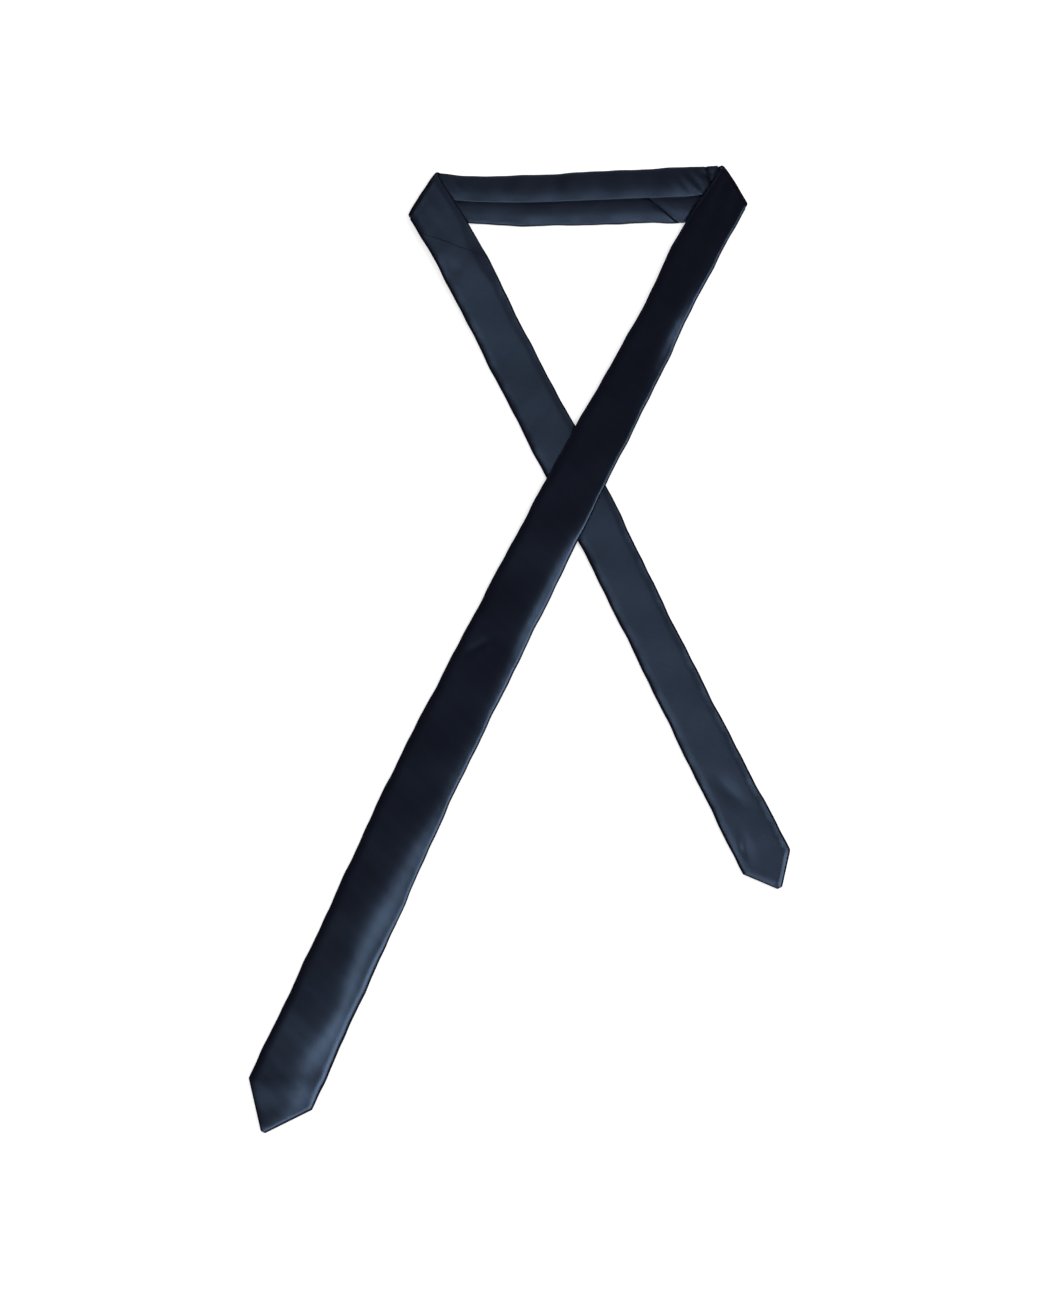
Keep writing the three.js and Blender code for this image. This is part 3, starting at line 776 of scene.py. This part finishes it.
# %% [markdown]
# ## Satin panels
# A panel is swept along its run. Its ends aren't straight across: at a fold it ends on the hinge line,
# and at a seam it ends on the bias, so every column has a start and an end of its own.

# %% Sweeping satin
SATIN_STEP = 2.4


def satin_cloth(name, run, first, last, flaps, exact=(), offset=0.0):
    """first and last are numbers, or arrays with one place for each section column."""
    first = np.broadcast_to(np.asarray(first, float), PART.shape)
    last = np.broadcast_to(np.asarray(last, float), PART.shape)
    count = int(np.ceil((last - first).mean() / SATIN_STEP)) + 1
    share = np.linspace(0, 1, count)
    marks = [(mark - first.mean()) / (last - first).mean() for mark in exact]
    share = np.unique(np.concatenate([share, marks]).round(6))
    s = first + (last - first) * share[:, None]
    faces = []
    for inset in (0.0, CLOTH):
        u, n = satin_at(run, s, flaps, inset)
        faces.append(run.place(s, u, n, np.broadcast_to(PART, s.shape)))
    return shell(name, *faces, cloth_map(run, s, unrolled(run, s, flaps), offset))


def fold_columns(run, fold):
    """Where each section column of a run meets a fold's hinge line."""
    s = np.zeros(PART.shape)
    for _ in range(8):
        u, _ = satin_at(run, s[None, :], body_flaps(run), 0.0)
        s = fold.end(run, u[0], 0.0 if run is not band else math.copysign(BAND_END, fold.at[0]))
    return s


def bias_seam(places):
    """A seam's place at the inner flap's edge, the two folded edges and the outer flap's edge."""
    return np.interp(TURN, range(len(places)), places)


blade_seam = bias_seam([38, 70, 88, 92])
tail_seam = bias_seam([14, 20, 64, 84])
band_at_blade = fold_columns(band, blade_fold)
band_at_tail = fold_columns(band, tail_fold)
blade_at_band = fold_columns(blade, blade_fold)
tail_at_band = fold_columns(tail, tail_fold)
BAND_OFFSET = -float(band_at_blade.mean())
TAIL_OFFSET = float(band_at_tail.mean()) + BAND_OFFSET
HINGE_CLEAR = 0.12                  # each panel stops just short of the blade's hinge line, to open freely
WOOL_CLEAR = 2.0                    # and the wool stops further back, out of sight when the fold is open
BLADE_SEAM_HALF = 1.2              # half the groove that each pressed seam leaves
TAIL_SEAM_HALF = 0.3
print("hinge line on the neckband:", band_at_tail.min().round(1), "to", band_at_blade.max().round(1))

# %% [markdown]
# ## The five stretches of satin
# A real tie is cut as three panels and sewn on the bias. The folds divide them again here, into five
# stretches. Below the bar tack the flaps part towards a narrow hem round each tip.

# %% The panels
finish_piece(
    satin_cloth("neck_panel_cloth", band, band_at_tail, blade_seam - BLADE_SEAM_HALF,
                body_flaps(band), (), BAND_OFFSET),
    satin, ["neck_panel"], "neckband")
finish_piece(
    satin_cloth("blade_panel_neck_cloth", band, blade_seam + BLADE_SEAM_HALF, band_at_blade - HINGE_CLEAR,
                body_flaps(band), (), BAND_OFFSET),
    satin, ["blade_panel_neck_end"], "neckband")
BLADE_TACK = BLADE_TIP - 112        # where each bar tack ends the closed part
TAIL_TACK = TAIL_TIP - 78
TIP_BLUNT = 1.9                     # half the width left at the very tip
blade_end_at = blade.tip[0] - TIP_BLUNT / blade.tip[1]
tail_end_at = tail.tip[0] - TIP_BLUNT / tail.tip[1]
finish_piece(
    satin_cloth("blade_panel_cloth", blade, blade_at_band + HINGE_CLEAR, blade_end_at,
                tip_flaps(blade, BLADE_TACK, BLADE_SHOULDER), (BLADE_SHOULDER,)),
    satin, ["blade_panel", "blade_panel_end"], bend=blade_bend)
finish_piece(
    satin_cloth("neck_panel_tail_cloth", tail, tail_at_band, tail_seam - TAIL_SEAM_HALF, body_flaps(tail), (),
                TAIL_OFFSET),
    satin, ["neck_panel_tail_end"], "tail")
finish_piece(
    satin_cloth("tail_panel_cloth", tail, tail_seam + TAIL_SEAM_HALF, tail_end_at,
                tip_flaps(tail, TAIL_TACK, TAIL_SHOULDER), (TAIL_SHOULDER,), TAIL_OFFSET),
    satin, ["tail_panel", "tail_panel_end"], bend=tail_bend)
print("satin stops this far from the tips, in mm:",
      round(BLADE_TIP - blade_end_at, 2), round(TAIL_TIP - tail_end_at, 2))

# %% [markdown]
# ## Seams
# A pressed seam shows as a fine groove with its stitches sunk in it. Each seam is a narrow band of
# thread just below the satin, between the two panels.

# %% Seams
SEAM_SINK = 0.25                    # how far the stitches lie below the satin


def seam_thread(name, run, seam, half, nodes, body, offset):
    s = seam + np.linspace(-half, half, 3)[:, None]
    faces = []
    for inset in (SEAM_SINK, CLOTH):
        u, n = satin_at(run, s, body_flaps(run), inset)
        faces.append(run.place(s, u, n, np.broadcast_to(PART, s.shape)))
    piece = shell(name, *faces, cloth_map(run, s, unrolled(run, s, body_flaps(run)), offset))
    return finish_piece(piece, thread, nodes, body)


seam_thread("blade_to_neck_seam_thread", band, blade_seam, BLADE_SEAM_HALF, ["blade_to_neck_seam"],
            "neckband", BAND_OFFSET)
seam_thread("neck_to_tail_seam_thread", tail, tail_seam, TAIL_SEAM_HALF, ["neck_to_tail_seam"],
            "tail", TAIL_OFFSET)
print("grooves:", 2 * BLADE_SEAM_HALF, "and", 2 * TAIL_SEAM_HALF, "mm wide")


# %% [markdown]
# ## Cloth round the folds
# Round a fold every column of the section travels half a circle about the hinge line, at a radius that
# is its own layer's. Three skins make a fold: the front with its rolled edges, the flaps inside it and
# the wool between them. Each is a piece of its own, with its own heights for a bend.

# %% Fold skins
RING_ROWS = 22


def fold_points(fold, run, u, n, band_s, run_s, relief, part=None):
    """A grid of points round a fold, from the neckband to the run that lies over it."""
    share = np.linspace(0, 1, RING_ROWS)[:, None]
    on_band = band.plan(band_s, u)
    on_run = run.plan(run_s, u)
    centre = mix(on_band[None], on_run[None], share[..., None])
    raised = relief(run_s, u, n, part) * share + band_relief(band_s, u, n, part) * (1 - share)
    radius = n + LAYER_GAP / 2 + raised
    plan = centre - fold.inward * (radius * np.sin(math.pi * share))[..., None]
    z = HINGE_Z - radius * np.cos(math.pi * share)
    return np.concatenate([plan, z[..., None]], -1) * MM


def fold_skin(name, fold, run, columns, relief, nodes, bend, offset):
    band_s, run_s = fold_columns(band, fold), fold_columns(run, fold)
    faces = []
    for inset in (0.0, CLOTH):
        u_band, n = satin_at(band, band_s[None, :], body_flaps(band), inset)
        u_run, _ = satin_at(run, run_s[None, :], body_flaps(run), inset)
        u = (u_band + u_run)[0] / 2
        faces.append(fold_points(fold, run, u[columns], n[0][columns], band_s[columns], run_s[columns],
                                 relief, PART[columns]))
    v = unrolled(run, run_s[None, :], body_flaps(run))[0][columns]
    share = np.linspace(0, 1, RING_ROWS)[:, None]
    _, n = satin_at(run, run_s[None, :], body_flaps(run), CLOTH / 2)
    s = run_s[columns] - (1 - share) * math.pi * (n[0][columns] + LAYER_GAP / 2)
    piece = shell(name, *faces, cloth_map(run, s, np.broadcast_to(v, s.shape), offset))
    return finish_piece(piece, satin, nodes, bend=bend)


in_front = (PART == 2) | ((PART == 1) & (SHARE >= 0.35)) | ((PART == 3) & (SHARE <= 0.65))
front_columns = np.nonzero(in_front)[0]
inner_columns = np.nonzero((PART == 0) | ((PART == 1) & (SHARE <= 0.15)))[0]
outer_columns = np.nonzero((PART == 4) | ((PART == 3) & (SHARE >= 0.85)))[0]
for prefix, fold, run, relief, offset in (
        ("blade", blade_fold, blade, blade_relief, 0.0),
        ("tail", tail_fold, tail, tail_relief, TAIL_OFFSET)):
    fold_skin(f"{prefix}_fold_front", fold, run, front_columns, relief, [f"{prefix}_crease_front"],
              fold_bend(prefix, 1.0, 6.3), offset)
    fold_skin(f"{prefix}_fold_outer_flap", fold, run, outer_columns, relief, [f"{prefix}_crease_flaps"],
              fold_bend(prefix, 2.9, 4.4), offset)
    fold_skin(f"{prefix}_fold_inner_flap", fold, run, inner_columns, relief, [],
              fold_bend(prefix, 2.3, 5.0), offset)
print("columns in a fold's front and flaps:", len(front_columns), len(inner_columns), len(outer_columns))

# %% [markdown]
# ## Wool and lining
# The interlining is a flat strip that gives the tie its body, and the lining covers it behind the tips.
# They follow the same relief as the satin around them, so they never show through it.

# %% Flat layers
LAYER_POINTS = 24
LAYER_STEP = 6.0


def flat_layer(name, run, first, last, inset, low_n, high_n, material, nodes, body=None, bend=None):
    """A flat strip of one layer. first and last are numbers or functions of the across distance u."""
    across = np.linspace(-1, 1, LAYER_POINTS)

    def ends(where, fallback):
        if not callable(where):
            return np.full(LAYER_POINTS, float(where))
        s = np.full(LAYER_POINTS, fallback)
        for _ in range(6):
            s = where(across * (run.half(s) - inset))
        return s
    start, stop = ends(first, 0.0), ends(last, 0.0)
    count = max(3, int((stop - start).mean() / LAYER_STEP))
    s = start + (stop - start) * np.linspace(0, 1, count)[:, None]
    u = across * (run.half(s) - inset)
    faces = [run.place(s, u, np.full_like(s, n)) for n in (high_n, low_n)]
    piece = shell(name, *faces, cloth_map(run, s, u))
    return finish_piece(piece, material, nodes, body, bend)


def layer_tip(run, inset):
    return run.tip[0] - (inset + 1.5) / run.tip[1]


wool_top = WOOL_AT + WOOL
LINING_LENGTH = 90.0                # how far each lining goes up behind the closed part
flat_layer("neckband_interlining_wool", band, lambda u: tail_fold.end(band, u, -BAND_END),
           lambda u: blade_fold.end(band, u, BAND_END) - WOOL_CLEAR, WOOL_INSET, WOOL_AT, wool_top,
           wool, ["neckband_interlining"], "neckband")
flat_layer("blade_interlining_wool", blade, lambda u: blade_fold.end(blade, u, 0.0) + WOOL_CLEAR,
           layer_tip(blade, WOOL_INSET),
           WOOL_INSET, WOOL_AT, wool_top, wool,
           ["blade_interlining", "blade_end_interlining"], bend=blade_bend)
flat_layer("tail_interlining_wool", tail, lambda u: tail_fold.end(tail, u, 0.0), layer_tip(tail, WOOL_INSET),
           WOOL_INSET, WOOL_AT, wool_top, wool,
           ["tail_interlining", "tail_end_interlining"], bend=tail_bend)
flat_layer("blade_lining_cloth", blade, BLADE_TACK - LINING_LENGTH, layer_tip(blade, LINING_INSET),
           LINING_INSET, LINING_AT, LINING_AT + LINING, lining_cloth, ["blade_lining"], "blade_end")
flat_layer("tail_lining_cloth", tail, TAIL_TACK - LINING_LENGTH, layer_tip(tail, LINING_INSET),
           LINING_INSET, LINING_AT, LINING_AT + LINING, lining_cloth, ["tail_lining"], "tail_end")
print("wool from", round(WOOL_AT, 2), "to", round(wool_top, 2), "mm through the layers")


# %% [markdown]
# ## Wool in the folds
# The interlining turns over with the satin, and is pressed thinner there than in the flat strip. It is
# made like a fold's skin, with its own two radii.

# %% Wool round the folds
FOLD_SQUEEZE = 0.7                  # taken off its inner face and its edges
FRONT_SQUEEZE = 0.2                 # taken off its outer face


def fold_wool(prefix, fold, run, relief):
    across = np.linspace(-1, 1, LAYER_POINTS)
    u = across * (run.half(np.zeros(LAYER_POINTS)) - WOOL_INSET - FOLD_SQUEEZE)
    band_s = fold.end(band, u, math.copysign(BAND_END, fold.at[0]))
    run_s = fold.end(run, u, 0.0)
    faces = [fold_points(fold, run, u, np.full_like(u, n), band_s, run_s, relief)
             for n in (wool_top - FRONT_SQUEEZE, WOOL_AT + FOLD_SQUEEZE)]
    s = run_s - (1 - np.linspace(0, 1, RING_ROWS)[:, None]) * math.pi * HINGE_Z
    piece = shell(f"{prefix}_fold_wool", *faces, cloth_map(run, s, np.broadcast_to(u, s.shape)))
    return finish_piece(piece, wool, [f"{prefix}_crease_interlining"],
                        bend=fold_bend(prefix, 1.8, 5.5))


fold_wool("blade", blade_fold, blade, blade_relief)
fold_wool("tail", tail_fold, tail, tail_relief)
print("wool in the folds:", round(WOOL - FOLD_SQUEEZE - FRONT_SQUEEZE, 2), "mm thick")

# %% [markdown]
# ## Stitches, bar tacks, keeper loop and label
# The slip stitch is a long loose thread: small slanted stitches hidden beside the outer flap's edge. A
# bar tack, a dense row of short stitches, locks its lower end. The keeper loop is a folded strip of the
# same satin, caught down at both ends, and the care label is a blank woven tape.

# %% Stitches
STITCH_PITCH = 7.0
STITCH_LENGTH = 4.6
THREAD_RADIUS = 0.10
TACK_RADIUS = 0.16                  # a bar tack's thread is thicker
TACK_TURNS = 20


def slip_stitches(name, run, first, last, nodes, body=None, bend=None):
    lines = []
    for at in np.arange(first, last - STITCH_LENGTH, STITCH_PITCH):
        share = np.linspace(0, 1, 7)
        s = at + STITCH_LENGTH * share
        u = OUTER_EDGE + 0.3 + 0.7 * share
        n = 0.50 + 0.03 * np.cos(2 * math.pi * share)
        lines.append(run.place(s, u, n, np.full(7, 4)))
    return finish_piece(threads(name, lines, THREAD_RADIUS * MM), thread, nodes, body, bend)


def bar_tack(name, run, at, nodes, body):
    """Close stitches across the flap's edge, wound to and fro."""
    share = np.linspace(0, 1, 61)
    swing = np.sin(share * math.pi * TACK_TURNS)
    s = at - 4.2 + 1.1 * np.sign(swing) * np.abs(swing) ** 0.4
    u = OUTER_EDGE - 4.2 + 4.4 * share
    n = 0.3 - 0.25 * step(u, OUTER_EDGE - 1.2, OUTER_EDGE)
    line = run.place(s, u, n, np.zeros(len(share)))
    return finish_piece(threads(name, [line], TACK_RADIUS * MM), thread, nodes, body)


slip_stitches("neckband_slip_stitches", band, -98, 98, ["neckband_slip_stitch"], "neckband")
slip_stitches("blade_slip_stitches", blade, 10, BLADE_TACK - 8,
              ["blade_slip_stitch", "blade_end_slip_stitch"], bend=blade_bend)
slip_stitches("tail_slip_stitches", tail, 14, TAIL_TACK - 8,
              ["tail_slip_stitch", "tail_end_slip_stitch"], bend=tail_bend)
bar_tack("blade_bar_tack_thread", blade, BLADE_TACK, ["blade_bar_tack"], "blade_end")
bar_tack("tail_bar_tack_thread", tail, TAIL_TACK, ["tail_bar_tack"], "tail_end")
print("bar tacks at", BLADE_TACK, "mm on the blade and", round(TAIL_TACK, 1), "mm on the tail")

# %% [markdown]
# ## Keeper loop
# The tail is tucked through a loop across the blade's back. It is a strip of the same satin folded in
# two, so both its long edges are round, and a few short stitches hold each end.

# %% Keeper loop and its stitches
LOOP_AT = BLADE_TIP - 150
LOOP_WIDTH = 10.0
LOOP_REACH = 15.0


def keeper_loop():
    """A strip folded to half its width, so its two long edges are round, bowed a little off the blade."""
    across = np.linspace(-LOOP_REACH, LOOP_REACH, 41)[None, :]
    angle = np.linspace(-1, 1, 25)[:, None]
    s = LOOP_AT + LOOP_WIDTH / 2 + LOOP_WIDTH / 2 * np.sign(angle) * np.abs(angle) ** 0.8 + 0 * across
    bow = -0.30 * np.cos(across / LOOP_REACH * math.pi / 2) + 0 * s
    edge = np.sqrt(np.clip(1 - np.abs(angle) ** 8, 0, 1)) + 0 * across
    u = across + 0 * s
    faces = [blade.place(s, u, -0.30 + bow + side * 0.18 * edge) for side in (-1, 1)]
    return shell("keeper_loop_cloth", *faces, cloth_map(blade, s, u))


finish_piece(keeper_loop(), satin, ["keeper_loop"], "blade_end")
for number, side in ((1, -1), (2, 1)):
    lines = []
    for k in range(7):
        s = np.full(5, LOOP_AT + 1.4 + 1.2 * k)
        u = side * (LOOP_REACH - 0.6 + np.linspace(-0.8, 1.0, 5))
        n = np.array([-0.42, -0.56, -0.52, -0.3, -0.08])
        lines.append(blade.place(s, u, n))
    finish_piece(threads(f"keeper_loop_threads_{number}", lines, 0.12 * MM), thread,
                 [f"keeper_loop_stitch_{number}"], "blade_end")
print("keeper loop:", 2 * LOOP_REACH, "by", LOOP_WIDTH, "mm")

# %% [markdown]
# ## Care label and spare thread
# A blank tape is sewn behind the blade's tip. Behind the tail, a short loop of the slip stitch's thread
# is left loose, so that the tie can stretch and spring back.

# %% Care label and the spare thread
LABEL_AT = BLADE_TIP - 58
LABEL_LENGTH = 22.0
LABEL_HALF = 7.0


def care_label():
    share = np.linspace(0, 1, 26)[:, None]
    across = np.linspace(-1, 1, 17)[None, :]
    s = LABEL_AT + LABEL_LENGTH * share + 0 * across
    u = LABEL_HALF * across + 0 * share
    curl = 0.22 * np.cos(math.pi * share) * across ** 2
    faces = [blade.place(s, u, LINING_AT - 0.18 - depth - np.abs(curl)) for depth in (0.22, 0.0)]
    return shell("care_label_tape", *faces, cloth_map(blade, s, u))


finish_piece(care_label(), label_tape, ["care_label"], "blade_end")
share = np.linspace(0, 1, 40)
loop_s = TAIL_TACK + 30 + 14 * np.sin(math.pi * share)
loop_u = 3.2 + 1.5 * np.sin(2 * math.pi * share)
loop_line = tail.place(loop_s, loop_u, 0.75 + 0.15 * np.cos(2 * math.pi * share))
finish_piece(threads("spare_thread_loop_thread", [loop_line], 0.15 * MM), thread,
             ["spare_thread_loop"], "tail_end")
print("label:", 2 * LABEL_HALF, "by", LABEL_LENGTH, "mm")

# %% [markdown]
# ## Telling the cloth's cut sizes
# The flat size that each piece of cloth was cut to, and its area, are measured from its map and printed.

# %% Sheets
def declare_cloth(name):
    piece = bpy.data.objects[name]
    mesh = piece.data
    corners = np.zeros(len(mesh.loops) * 2, np.float32)
    mesh.uv_layers["cloth"].data.foreach_get("uv", corners)
    first, second = corners.astype(float).reshape(-1, 2).T
    path, over = (first + second) / math.sqrt(2), (first - second) / math.sqrt(2)
    width, length = float(np.ptp(over)), float(np.ptp(path))
    area = 0.0
    for polygon in mesh.polygons:
        k = np.array(polygon.loop_indices)
        a, b = first[k], second[k]
        area += abs(a @ np.roll(b, -1) - b @ np.roll(a, -1)) / 4
    print(f"{name}: cut {width * 1000:.1f} by {length * 1000:.1f} mm, {area * 1e6:.0f} mm2",
          f"{area / (width * length):.2f} of that")
    if area < 0.35 * width * length:    # a slanted strip: its length, and its width square to that
        length = max(width, length)
        width = area / length
    return piece


# The flaps' strips inside the folds are only a few millimetres long, so only the fold's front is measured.
for prefix in ("blade", "tail"):
    declare_cloth(f"{prefix}_fold_front")
for cloth_name in ("neck_panel_cloth", "blade_panel_neck_cloth", "blade_panel_cloth",
                   "neck_panel_tail_cloth", "tail_panel_cloth"):
    declare_cloth(cloth_name)
for cloth_name in ("neckband_interlining_wool", "blade_interlining_wool", "tail_interlining_wool",
                   "blade_fold_wool", "tail_fold_wool", "blade_lining_cloth", "tail_lining_cloth",
                   "keeper_loop_cloth", "care_label_tape"):
    declare_cloth(cloth_name)

# %% [markdown]
# ## Floor
# The tie lies on a white paper sweep. It glows a little, so that it stays white and its shadows faint,
# and the gloss doesn't see it.

# %% Floor
PAPER_GRAIN = 900.0                 # bumps to the metre
FLOOR_DROP = 0.0004                 # just below the tie, so that the two never share a plane
FLOOR_REACH = 3.0


def white_floor():
    """A white paper sweep, wide enough to fill any view of the tie."""
    material, tree = new_material("white_paper")
    tooth = node(tree, "ShaderNodeTexNoise", {}, {"Scale": PAPER_GRAIN, "Detail": 2.0})
    relief = node(tree, "ShaderNodeBump", {}, {
        "Height": tooth.outputs["Fac"], "Strength": 0.05, "Distance": 0.1 * MM})
    surface = node(tree, "ShaderNodeBsdfPrincipled", {}, {
        "Base Color": linear("#f4f4f5"), "Roughness": 0.9, "Specular IOR Level": 0.1,
        "Emission Color": linear("#ffffff"), "Emission Strength": 0.45,
        "Normal": relief.outputs["Normal"]})
    node(tree, "ShaderNodeOutputMaterial", {}, {"Surface": surface.outputs["BSDF"]})
    ends = ((-1, -1), (1, -1), (1, 1), (-1, 1))
    corners = [(x * FLOOR_REACH, y * FLOOR_REACH, -FLOOR_DROP) for x, y in ends]
    mesh = bpy.data.meshes.new("floor")
    mesh.from_pydata(corners, [], [(0, 1, 2, 3)])
    mesh.materials.append(material)
    floor = bpy.data.objects.new("floor", mesh)
    bpy.context.scene.collection.objects.link(floor)
    return floor


floor = white_floor()
floor.visible_glossy = False
print("floor:", 2 * FLOOR_REACH, "m square")

# %% [markdown]
# ## Light
# A white room lights the cloth evenly. The satin would mirror that room and turn grey, so its gloss sees
# only a few far windows. Their places are given by their angles from straight above, and they set which
# way the cloth must face to shine.

# %% Lights
def area_light(name, place, size, power, colour, aim, glossy=True):
    data = bpy.data.lights.new(name, "AREA")
    data.shape = "RECTANGLE"
    data.size, data.size_y = size
    data.energy = power
    data.color = linear(colour)[:3]
    light = bpy.data.objects.new(name, data)
    light.location = place
    direction = Vector(aim) - Vector(place)
    light.rotation_euler = direction.to_track_quat("-Z", "Y").to_euler()
    light.visible_glossy = glossy
    bpy.context.scene.collection.objects.link(light)
    return light


def sun(name, across, down, strength, spread):
    """A far, broad light that only the gloss sees, given by its angles from straight above."""
    data = bpy.data.lights.new(name, "SUN")
    data.energy = strength
    data.angle = math.radians(spread)
    light = bpy.data.objects.new(name, data)
    towards = Vector((math.tan(math.radians(across)), -math.tan(math.radians(down)), 1.0))
    light.rotation_euler = towards.to_track_quat("Z", "Y").to_euler()
    light.visible_diffuse = False
    bpy.context.scene.collection.objects.link(light)
    return light


WINDOWS = [                         # name, degrees across and down, strength, width in degrees
    ("window_right", 25, 17, 1.6, 25),
    ("window_left", -8, 22, 0.80, 20),
    ("window_low_front", 20, 66, 0.5, 50),      # the two low ones show the satin's gloss from the sides
    ("window_low_back", -20, -66, 0.5, 50),
]
for window in WINDOWS:
    sun(*window)
aim = (middle[0], middle[1], 0.0)
area_light("shadow_key", (middle[0] + 0.9, middle[1] + 0.55, 1.5), (0.5, 0.5), 8, "#ffffff", aim,
           glossy=False)
ROOM_STRENGTH = 0.75
world = bpy.data.worlds.new("studio")
bpy.context.scene.world = world
world.use_nodes = True
world.node_tree.nodes["Background"].inputs["Color"].default_value = linear("#ffffff")
world.node_tree.nodes["Background"].inputs["Strength"].default_value = ROOM_STRENGTH
world.cycles_visibility.glossy = False
bpy.context.scene.view_settings.view_transform = "Standard"
print("windows:", [window[0] for window in WINDOWS])
